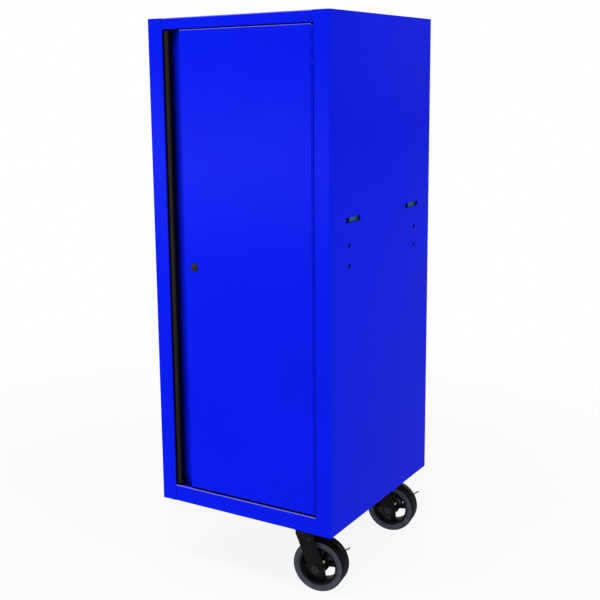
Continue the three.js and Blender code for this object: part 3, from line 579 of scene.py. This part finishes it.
def axle(caster):
    """The axle bolt with its head, nut, washers and the end of its thread."""
    near = FORK_OUTER + AXLE_PLAY
    end = near + WASHER_STEEL + HEAD_HEIGHT
    washer = [(AXLE_RADIUS, 0), (WASHER_RADIUS - WASHER_EDGE, 0), (WASHER_RADIUS, WASHER_EDGE),
              (WASHER_RADIUS, WASHER_STEEL), (AXLE_RADIUS, WASHER_STEEL)]
    parts = []
    for way in (-1, 1):
        place = caster.facing(TRAIL, way * (end - HEAD_HEIGHT / 2), -AXLE_DROP)
        parts.append(plate(hexagon(HEAD_CORNER), HEAD_HEIGHT, HEAD_EDGE, place))
        seat = caster.at(TRAIL, way * near, -AXLE_DROP)
        parts.append(lathe(washer, seat, caster.axle * way, sides=48))
    thread = [(0, -FORK_OUTER), (AXLE_RADIUS, -FORK_OUTER)]
    for k in range(THREAD_TURNS):
        thread += [(AXLE_RADIUS, end + (k - 1) * THREAD_PITCH),
                   (AXLE_RADIUS - THREAD_DEPTH, end + (k - 0.5) * THREAD_PITCH)]
    thread.append((0, end + THREAD_END))
    parts.append(lathe(thread, caster.wheel, caster.axle, sides=32))
    piece(caster.name("axle_hardware"), together(*parts), caster.name("swivel"), "black_oxide",
          [caster.name("axle_bolt"), caster.name("axle_nut")])


# The wheel: tyre, windowed core, bearing, sleeve and grease nipple, as profiles about the axle.

TYRE_HALF = [(47.3, 21.6), (48.1, 23.3), (49.2, 24.3), (50.2, 24.5), (50.8, 24.1), (51.2, 23.4),
             (52, 23.4), (52.4, 24.1), (53, 24.8), (54, 25), (57.6, 25), (58.3, 24.7), (58.7, 24.1),
             (59.3, 24.1), (59.7, 24.6), (60.4, 24.6), (61.4, 24), (62.4, 22.9), (63.1, 21.4),
             (63.5, 19), (63.5, 9)]
TREAD_RADIUS = 61.5
RIM_HALF = [(47, 22), (46.6, 22.8), (45.8, 23.2), (44.4, 23.2), (43.2, 22.5), (42.4, 21),
            (41.2, 12), (40.4, 7)]
HUB_HALF = [(11.9, 28), (15.6, 28), (16.5, 27.1), (16.8, 9), (18.5, 5)]
WEB_OUTER = 44.5
WEB_BORE = 15
WEB_THICK = 13
WEB_EDGE = 1.6
WINDOWS = 4
FIRST_WINDOW = -40
WINDOW_ARCS = ((40.5, 36), (21, 28))
WINDOW_STEPS = 8
WINDOW_ROUND = 4
BEARING_HALF = [(8.6, -27.5), (9, -27.8), (11.2, -27.8), (11.6, -27.5)]
SLEEVE_HALF = [(6.3, -29.7), (8, -29.7), (8.3, -29.4)]
NIPPLE = [(0, 14.5), (2, 14.5), (2, 16.9), (3.2, 16.9), (3.2, 19.1), (1.6, 19.7), (2.1, 20.6),
          (2.1, 21.3), (1.4, 22.5), (0, 22.5)]
NIPPLE_TURN = 45
NIPPLE_ASIDE = 20


def tyre(caster):
    """A round tyre with a bead ring on its pale sidewalls and a black tread."""
    skin = lathe(mirrored(TYRE_HALF), caster.wheel, caster.axle, sides=128)
    made = piece(caster.name("tyre_round"), skin, caster.name("wheel"), "tyre",
                 [caster.name("tyre")])
    made.data.materials.append(materials["tread"])
    for face in made.data.polygons:
        reach = (face.center - caster.wheel).cross(caster.axle).length
        face.material_index = int(reach > TREAD_RADIUS * MM)


def window(angle):
    """A see-through window between two spokes, from its outer and inner arc."""
    points = []
    for (radius, half), way in zip(WINDOW_ARCS, (1, -1)):
        for k in range(WINDOW_STEPS + 1):
            turn = math.radians(angle + way * half * (2 * k / WINDOW_STEPS - 1))
            points.append((radius * math.cos(turn), radius * math.sin(turn)))
    return fillet(points, WINDOW_ROUND, steps=6)


def wheel_core(caster):
    """The rim and the hub with the windowed web between them."""
    outlines = [circle(WEB_OUTER, sides=96), circle(WEB_BORE, sides=64)]
    outlines += [window(FIRST_WINDOW + 360 * k / WINDOWS) for k in range(WINDOWS)]
    web = plate(outlines, WEB_THICK, WEB_EDGE, caster.facing(TRAIL, 0, -AXLE_DROP))
    rim = lathe(mirrored(RIM_HALF), caster.wheel, caster.axle, sides=96)
    hub = lathe(mirrored(HUB_HALF), caster.wheel, caster.axle, sides=64)
    piece(caster.name("wheel_spokes"), together(web, rim, hub), caster.name("wheel"),
          "wheel_black", [caster.name("wheel_core")])


def wheel_fittings(caster):
    """The roller bearing in the hub, its sleeve on the axle, and the grease nipple."""
    bearing = lathe(mirrored(BEARING_HALF), caster.wheel, caster.axle, sides=48)
    piece(caster.name("bearing_ring"), bearing, caster.name("wheel"), "steel",
          [caster.name("wheel_bearing")])
    sleeve = lathe(mirrored(SLEEVE_HALF), caster.wheel, caster.axle, sides=48)
    piece(caster.name("sleeve_tube"), sleeve, caster.name("swivel"), "steel",
          [caster.name("axle_sleeve")])
    turn = math.radians(NIPPLE_TURN)
    way = caster.ahead * math.cos(turn) + Z * math.sin(turn)
    nipple = lathe(NIPPLE, caster.wheel - caster.axle * NIPPLE_ASIDE * MM, way, sides=24)
    piece(caster.name("nipple"), nipple, caster.name("wheel"), "brass",
          [caster.name("grease_nipple")])


# The brake: a strap from its pin round the tyre, with a tail to step on.

PIN_X = 20
PIN_Z = -33
PIN_RADIUS = 3
PIN_HEAD = 4.6
PIN_HEAD_LENGTH = 1.5
PIN_CHAMFER = (0.2, 0.4)
STRAP_RADIUS = 66
STRAP_STEEL = 2
STRAP_EDGE = 0.7
STRAP_WRAP = math.radians(34)
STRAP_STEPS = 28
STRAP_HALF = 8
TAIL_START = 80
TAIL_REACHES = (83, 85, 87, 88, 88.6, 89)
TAIL_BEND = 5
TAIL_HALF = 4
TAIL_BLUNT = 0.03
EYE_HALF = 20
EYE_PLAY = 0.4
EYE_STEEL = 3
EYE_EDGE = 0.6


def round_wheel(reach, angle):
    """A point (x, z) at a distance from the axle."""
    return TRAIL + reach * math.cos(angle), reach * math.sin(angle) - AXLE_DROP


def strap_path():
    """The brake lever's lower face as (x, z) points, round the wheel and out along the tail."""
    start = math.atan2(PIN_Z + AXLE_DROP, PIN_X - TRAIL)
    arc = [round_wheel(STRAP_RADIUS, start + (STRAP_WRAP - start) * k / STRAP_STEPS)
           for k in range(STRAP_STEPS + 1)]
    corner = [arc[-4], arc[-1], round_wheel(TAIL_START, STRAP_WRAP)]
    bend = fillet(corner, TAIL_BEND, steps=8, closed=False)
    return arc[:-4] + bend + [round_wheel(reach, STRAP_WRAP) for reach in TAIL_REACHES]


def strap_half(x):
    """Half the lever's width: a strap over the tyre that narrows to the tail."""
    wrap_end = round_wheel(STRAP_RADIUS, STRAP_WRAP)[0]
    share = min(max((x - TRAIL) / (wrap_end - TRAIL), 0), 1)
    tip = round_wheel(TAIL_REACHES[-1], STRAP_WRAP)[0]
    end = max(x - tip + TAIL_HALF, 0) / TAIL_HALF
    width = STRAP_HALF + (TAIL_HALF - STRAP_HALF) * share
    return width * math.sqrt(max(1 - end ** 2, TAIL_BLUNT))


def brake(caster):
    """The brake lever: the strap and the eye that turns on its pin."""
    path = strap_path()
    rows = []
    for k, (x, z) in enumerate(path):
        ahead = Vector(path[min(k + 1, len(path) - 1)]) - Vector(path[max(k - 1, 0)])
        up_x, up_z = -ahead.y / ahead.length, ahead.x / ahead.length
        half = strap_half(x)
        section = rectangle(-half, half, 0, STRAP_STEEL)
        rows.append([caster.at(x + up_x * rise, y, z + up_z * rise)
                     for y, rise in fillet(section, STRAP_EDGE, steps=2)])
    strap = sheet(rows, ring=True, caps=True)
    inner = PIN_RADIUS + EYE_PLAY
    outer = inner + EYE_STEEL
    eye_half = [(inner, -EYE_HALF), (outer - EYE_EDGE, -EYE_HALF), (outer, EYE_EDGE - EYE_HALF)]
    eye = lathe(mirrored(eye_half), caster.at(PIN_X, 0, PIN_Z), caster.axle, sides=40)
    piece(caster.name("brake_lever"), together(strap, eye), caster.name("brake"), "caster_black",
          [caster.name("brake_pedal")])


def brake_pin(caster):
    """The lever's pin through both fork legs, with a head at each end."""
    end = FORK_OUTER + PIN_HEAD_LENGTH
    pin_half = [(0, -end), (PIN_HEAD - PIN_CHAMFER[0], -end), (PIN_HEAD, PIN_CHAMFER[1] - end),
                (PIN_HEAD, -FORK_OUTER), (PIN_RADIUS, -FORK_OUTER)]
    pin = lathe(mirrored(pin_half), caster.at(PIN_X, 0, PIN_Z), caster.axle, sides=32)
    piece(caster.name("lever_pin"), pin, caster.name("swivel"), "black_oxide",
          [caster.name("brake_pin")])


# The top plate with its swivel race, four bolts and the kingpin.

PLATE_LENGTH = 114
PLATE_WIDTH = 102
PLATE_STEEL = 5
PLATE_ROUND = 12
PLATE_EDGE = 0.8
RACE = [(8.5, -4), (37, -4), (36.4, -6), (34.5, -9), (33.6, -12.6), (32.8, -13.5), (8.5, -13.5)]
KINGPIN = [(0, -24.3), (9, -24.3), (11, -23.6), (12, -22), (12, -19.3), (8, -19.3), (8, -1), (0, -1)]
BOLTS_APART = (84, 74)
BOLT_SHANK = [(0, -4), (5, -4), (5, 11), (4.4, 11.5), (0, 11.5)]
BOLT_BORE = 5
BOLT_CORNER = 8.5
BOLT_HEIGHT = 6
NUT_EDGE = 0.7
NUT_RISE = 6


def bolt_places(caster, z):
    """The four bolts of a top plate, which stays square to the cabinet."""
    for x in (-BOLTS_APART[0] / 2, BOLTS_APART[0] / 2):
        for y in (-BOLTS_APART[1] / 2, BOLTS_APART[1] / 2):
            yield caster.origin + Vector((x, y, z)) * MM


def top_plate(caster):
    """The plate under the cabinet's floor, with the swivel race and the bolts."""
    corners = rectangle(-PLATE_LENGTH / 2, PLATE_LENGTH / 2, -PLATE_WIDTH / 2, PLATE_WIDTH / 2)
    outline = fillet(corners, PLATE_ROUND, steps=8)
    parts = [plate([outline], PLATE_STEEL, PLATE_EDGE, lying(caster.at(0, 0, -PLATE_STEEL / 2)))]
    parts.append(lathe(RACE, caster.origin, Z, sides=72))
    for place in bolt_places(caster, 0):
        under = lying(place - Z * (PLATE_STEEL + BOLT_HEIGHT / 2) * MM)
        parts.append(plate(hexagon(BOLT_CORNER), BOLT_HEIGHT, PLATE_EDGE, under))
        parts.append(lathe(BOLT_SHANK, place, Z, sides=24))
    piece(caster.name("swivel_plate"), together(*parts), "cabinet", "caster_black",
          [caster.name("caster_plate")])


def kingpin(caster):
    """The rivet on which the fork turns."""
    piece(caster.name("kingpin_rivet"), lathe(KINGPIN, caster.origin, Z, sides=48), "cabinet",
          "caster_black", [caster.name("kingpin")])


def channel_nuts():
    """Nuts on the caster bolts, on top of the caster channel's floor."""
    parts = []
    for end in ("front", "rear"):
        for place in bolt_places(Caster(end), NUT_RISE):
            parts.append(plate(hexagon(BOLT_CORNER, BOLT_BORE), BOLT_HEIGHT, NUT_EDGE, lying(place)))
    piece("caster_nuts", together(*parts), "cabinet", "zinc")


def add_casters():
    """Both casters, piece by piece."""
    for end in ("front", "rear"):
        caster = Caster(end)
        for build in (fork, axle, tyre, wheel_core, wheel_fittings, brake, brake_pin, top_plate,
                      kingpin):
            build(caster)


# Door fittings

PULL_WALL = 1.8
PULL_LEFT = 2
PULL_RIB = 5.6
PULL_RIGHT = 12.5
RIB_DEPTH = 13
LIP_DEPTH = 7
PULL_RADII = (0.3, 1.7, 1.7, 0.8, 0.8, 0.6, 0.6, 0.3, 0.3, 0.3, 0.3, 0.3)
PULL_DROP = 2
BEZEL_FACE = [(5.75, 0), (8, 0), (8.4, 0.15), (8.7, 0.15), (9.3, 0.5), (9.9, 1.1), (10.25, 1.8),
              (10.25, 2.3), (8.5, 2.3)]
PLUG_RADIUS = 5.5
PLUG_FACE = 5
PLUG_EDGE = 0.3
KEYWAY = [(-0.8, -3.75), (0.8, -3.75), (0.8, -1.2), (0.3, -0.8), (0.3, 0.6), (0.8, 1), (0.8, 3.75),
          (-0.8, 3.75), (-0.8, 1.6), (-0.4, 1.2), (-0.4, -1.8), (-0.8, -2.2)]
KEYWAY_ROUND = 0.15


def pull():
    """The black pull: a cap over the pocket's edge with a lip to curl the fingers behind."""
    low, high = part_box("door_pull")
    deep = (high.y - low.y) / MM
    section = [(PULL_LEFT, deep), (PULL_LEFT, 0), (PULL_RIGHT, 0), (PULL_RIGHT, LIP_DEPTH),
               (PULL_RIGHT - PULL_WALL, LIP_DEPTH), (PULL_RIGHT - PULL_WALL, PULL_WALL),
               (PULL_RIB + PULL_WALL, PULL_WALL), (PULL_RIB + PULL_WALL, RIB_DEPTH),
               (PULL_RIB, RIB_DEPTH), (PULL_RIB, PULL_WALL),
               (PULL_LEFT + PULL_WALL, PULL_WALL), (PULL_LEFT + PULL_WALL, deep)]
    outline = []
    for k, radius in enumerate(PULL_RADII):
        trio = [section[k - 1], section[k], section[(k + 1) % len(section)]]
        outline += fillet(trio, radius, steps=5, closed=False)[1:-1]
    rows = [[Vector((low.x + x * MM, low.y + y * MM, z)) for x, y in outline]
            for z in (low.z, high.z - PULL_DROP * MM)]
    piece("pull_section", sheet(rows, ring=True, caps=True), "door", "pull_black", ["door_pull"])


def lock():
    """The black cam lock's bezel and its plug with the keyway."""
    low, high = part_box("lock_housing")
    centre = Vector(((low.x + high.x) / 2, low.y, (low.z + high.z) / 2))
    end = (high.y - low.y) / MM
    bezel = BEZEL_FACE + [(BEZEL_FACE[-1][0], end), (BEZEL_FACE[0][0], end)]
    piece("lock_bezel", lathe(bezel, centre, Y, sides=64), "door", "lock_black", ["lock_housing"])
    face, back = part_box("lock_plug")[0].y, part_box("lock_plug")[1].y
    front = centre.copy()
    front.y = face + PLUG_FACE / 2 * MM
    outlines = [circle(PLUG_RADIUS, sides=48), fillet(KEYWAY, KEYWAY_ROUND, steps=2)]
    plug = plate(outlines, PLUG_FACE, PLUG_EDGE, facing_front(front))
    end = (back - face) / MM
    core = [(0, PLUG_FACE), (PLUG_RADIUS, PLUG_FACE), (PLUG_RADIUS, end), (0, end)]
    front.y = face
    piece("lock_plug_face", together(plug, lathe(core, front, Y, sides=48)), "lock", "lock_black",
          ["lock_plug"])


# Small hardware

RIVET = [(0, 0.7), (0.9, 0.7), (1.1, 1.4), (1.6, 1.5), (2.8, 1.2), (3.7, 0.7), (4, 0.2), (4, -0.6),
         (0, -0.6)]
RIVET_INSET = 11
RIVET_END = 40
RIVETS = 6
SCREW_INSET = 7
WELD_HALF = 3
WELD_RISE = 0.06
WELD_DEPTH = 0.4
WELD_END = 1.5
LAP_BEHIND = 1.3
LAP_STEEL = 1
LAP_HALF = 9
LAP_EDGE = 0.2


def rivet(centre, axis):
    """A blind rivet's domed head with the dimple of its broken stem."""
    return lathe(RIVET, centre, axis, sides=28)


def back_rivets():
    """Rivets along both rear flanges, through the back panel."""
    low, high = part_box("back_panel")
    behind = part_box("left_side_panel")[1].y
    height = high.z - low.z - 2 * RIVET_END * MM
    parts = []
    for x in (low.x + RIVET_INSET * MM, high.x - RIVET_INSET * MM):
        for k in range(RIVETS):
            z = low.z + RIVET_END * MM + height * k / (RIVETS - 1)
            parts.append(rivet(Vector((x, behind, z)), Y))
    piece("back_panel_rivets", together(*parts), "cabinet", "blue_paint")


def rail_strips(name, edge, section):
    """Two painted strips of one section, at the top and bottom rail's joint with a stile."""
    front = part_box("right_side_panel")[0].y
    parts = []
    for rail in ("top_panel", "bottom_panel"):
        low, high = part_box(rail)
        rows = [[Vector((edge + x * MM, front + y * MM, z)) for x, y in section]
                for z in (low.z + WELD_END * MM, high.z - WELD_END * MM)]
        parts.append(sheet(rows, ring=True, caps=True))
    piece(name, together(*parts), "cabinet", "blue_paint")


def rail_welds():
    """Ground welds that join both rails to the hinge stile, and laps behind the latch stile's seam."""
    weld = [(x, -WELD_RISE * (1 - (x / WELD_HALF) ** 2)) for x in range(-WELD_HALF, WELD_HALF + 1)]
    rail_strips("hinge_stile_welds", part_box("right_side_panel")[0].x, weld + [(0, WELD_DEPTH)])
    lap = rectangle(-LAP_HALF, LAP_HALF, LAP_BEHIND, LAP_BEHIND + LAP_STEEL)
    lap = fillet(lap, LAP_EDGE, steps=2)
    rail_strips("latch_stile_laps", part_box("left_side_panel")[1].x, lap)


def catch_screws():
    """The two heads that hold the magnetic catch from below."""
    low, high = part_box("magnetic_catch")
    parts = []
    for x in (low.x + SCREW_INSET * MM, high.x - SCREW_INSET * MM):
        parts.append(rivet(Vector((x, (low.y + high.y) / 2, low.z)), -Z))
    piece("magnetic_catch_screws", together(*parts), "cabinet", "zinc")


# Stage, camera and light, in metres, degrees and watts; the lens is in millimetres.

FLOOR_HALF = 30
FLOOR_CELLS = 8
FLOOR_GREY = (0.86, 0.86, 0.86, 1)
FLOOR_ROUGH = 0.9
FLOOR_SPECULAR = 0.1
FADE_REACH = (0.8, 2.6)
FADE_LEAST = 0.88
WHITE = (1, 1, 1, 1)
AMBIENT = 0.5
LAMP_TARGET = (0.24, 0, -0.1)
LAMPS = {
    "key": {"place": (-1.7, -3.2, -0.05), "width": 2.4, "height": 0.5, "power": 64},
    "side": {"place": (3.4, -0.4, 1.2), "width": 2.2, "height": 2.2, "power": 45},
    "top": {"place": (0.24, -1.6, 3), "width": 2.4, "height": 0.4, "power": 40},
}
CAMERA_PLACE = (1.54236, -2.21237, 0.38735)
CAMERA_TURN, CAMERA_DOWN, CAMERA_ROLL = 32.65791, 10.46385, -0.91858
CAMERA_LENS = 61.79656
CAMERA_SENSOR = 36
CAMERA_SHIFT = (0.07, -0.045)


def seen_directly(tree):
    """1 for rays from the camera, from a reflection or through glass, else 0."""
    path = tree.nodes.new("ShaderNodeLightPath")
    either = path.outputs["Is Camera Ray"]
    for kind in ("Is Glossy Ray", "Is Transmission Ray"):
        most = tree.nodes.new("ShaderNodeMath")
        most.operation = "MAXIMUM"
        tree.links.new(either, most.inputs[0])
        tree.links.new(path.outputs[kind], most.inputs[1])
        either = most.outputs["Value"]
    return either


def white_share(tree):
    """The share of white in the floor as it is seen, which grows with the way from the object."""
    place = tree.nodes.new("ShaderNodeTexCoord")
    length = tree.nodes.new("ShaderNodeVectorMath")
    length.operation = "LENGTH"
    tree.links.new(place.outputs["Object"], length.inputs[0])
    fade = tree.nodes.new("ShaderNodeMapRange")
    fade.interpolation_type = "SMOOTHSTEP"
    fade.inputs["From Min"].default_value = FADE_REACH[0]
    fade.inputs["From Max"].default_value = FADE_REACH[1]
    fade.inputs["To Min"].default_value = FADE_LEAST
    tree.links.new(length.outputs["Value"], fade.inputs["Value"])
    share = tree.nodes.new("ShaderNodeMath")
    share.operation = "MULTIPLY"
    tree.links.new(fade.outputs["Result"], share.inputs[0])
    tree.links.new(seen_directly(tree), share.inputs[1])
    return share.outputs["Value"]


def floor_finish():
    """A pale finish that keeps the shadow and fades into the white background."""
    material = bpy.data.materials.new("pale_floor")
    material.use_nodes = True
    tree = material.node_tree
    shader = tree.nodes["Principled BSDF"]
    shader.inputs["Base Color"].default_value = FLOOR_GREY
    shader.inputs["Roughness"].default_value = FLOOR_ROUGH
    shader.inputs["Specular IOR Level"].default_value = FLOOR_SPECULAR
    white = tree.nodes.new("ShaderNodeEmission")
    white.inputs["Strength"].default_value = 1.0
    mix = tree.nodes.new("ShaderNodeMixShader")
    tree.links.new(white_share(tree), mix.inputs["Fac"])
    tree.links.new(shader.outputs["BSDF"], mix.inputs[1])
    tree.links.new(white.outputs["Emission"], mix.inputs[2])
    tree.links.new(mix.outputs["Shader"], tree.nodes["Material Output"].inputs["Surface"])
    return material


def floor():
    """A wide floor under the wheels."""
    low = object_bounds()[0]
    bm = bmesh.new()
    bmesh.ops.create_grid(bm, x_segments=FLOOR_CELLS, y_segments=FLOOR_CELLS, size=FLOOR_HALF)
    bmesh.ops.translate(bm, vec=(0, 0, low.z), verts=bm.verts)
    mesh = bpy.data.meshes.new("floor")
    bm.to_mesh(mesh)
    bm.free()
    mesh.materials.append(floor_finish())
    made = bpy.data.objects.new("floor", mesh)
    bpy.context.scene.collection.objects.link(made)
    made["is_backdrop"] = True


def world():
    """A white background, with a softer white light from all sides."""
    made = bpy.data.worlds.new("studio")
    made.use_nodes = True
    tree = made.node_tree
    background = tree.nodes["Background"]
    background.inputs["Color"].default_value = WHITE
    strength = tree.nodes.new("ShaderNodeMapRange")
    strength.inputs["To Min"].default_value = AMBIENT
    strength.inputs["To Max"].default_value = 1.0
    tree.links.new(seen_directly(tree), strength.inputs["Value"])
    tree.links.new(strength.outputs["Result"], background.inputs["Strength"])
    bpy.context.scene.world = made


def lamp(name, place, width, height, power):
    """A rectangular lamp that faces the locker."""
    light = bpy.data.lights.new(name, "AREA")
    light.shape = "RECTANGLE"
    light.size = width
    light.size_y = height
    light.energy = power
    made = bpy.data.objects.new(name, light)
    made.location = place
    made.rotation_euler = (Vector(place) - Vector(LAMP_TARGET)).to_track_quat("Z", "Y").to_euler()
    bpy.context.scene.collection.objects.link(made)


def lights():
    """All lamps and the light of the surroundings."""
    for name, values in LAMPS.items():
        lamp(name, **values)
    world()


def camera():
    """The camera: turned from the front, tilted down and a little rolled."""
    turn, down, roll = (math.radians(a) for a in (CAMERA_TURN, CAMERA_DOWN, CAMERA_ROLL))
    back = Vector((math.sin(turn) * math.cos(down), -math.cos(turn) * math.cos(down), math.sin(down)))
    right = Vector((math.cos(turn), math.sin(turn), 0))
    up = back.cross(right)
    across = right * math.cos(roll) + up * math.sin(roll)
    upward = up * math.cos(roll) - right * math.sin(roll)
    lens = bpy.data.cameras.new("camera")
    lens.lens = CAMERA_LENS
    lens.sensor_width = CAMERA_SENSOR
    lens.shift_x, lens.shift_y = CAMERA_SHIFT
    made = bpy.data.objects.new("camera", lens)
    made.matrix_world = (Matrix.Translation(CAMERA_PLACE)
                         @ Matrix((across, upward, back)).transposed().to_4x4())
    bpy.context.scene.collection.objects.link(made)
    bpy.context.scene.camera = made


dress_solids()
add_casters()
pull()
lock()
back_rivets()
rail_welds()
catch_screws()
channel_nuts()
floor()
lights()
camera()
bpy.context.scene.view_settings.view_transform = "Standard"
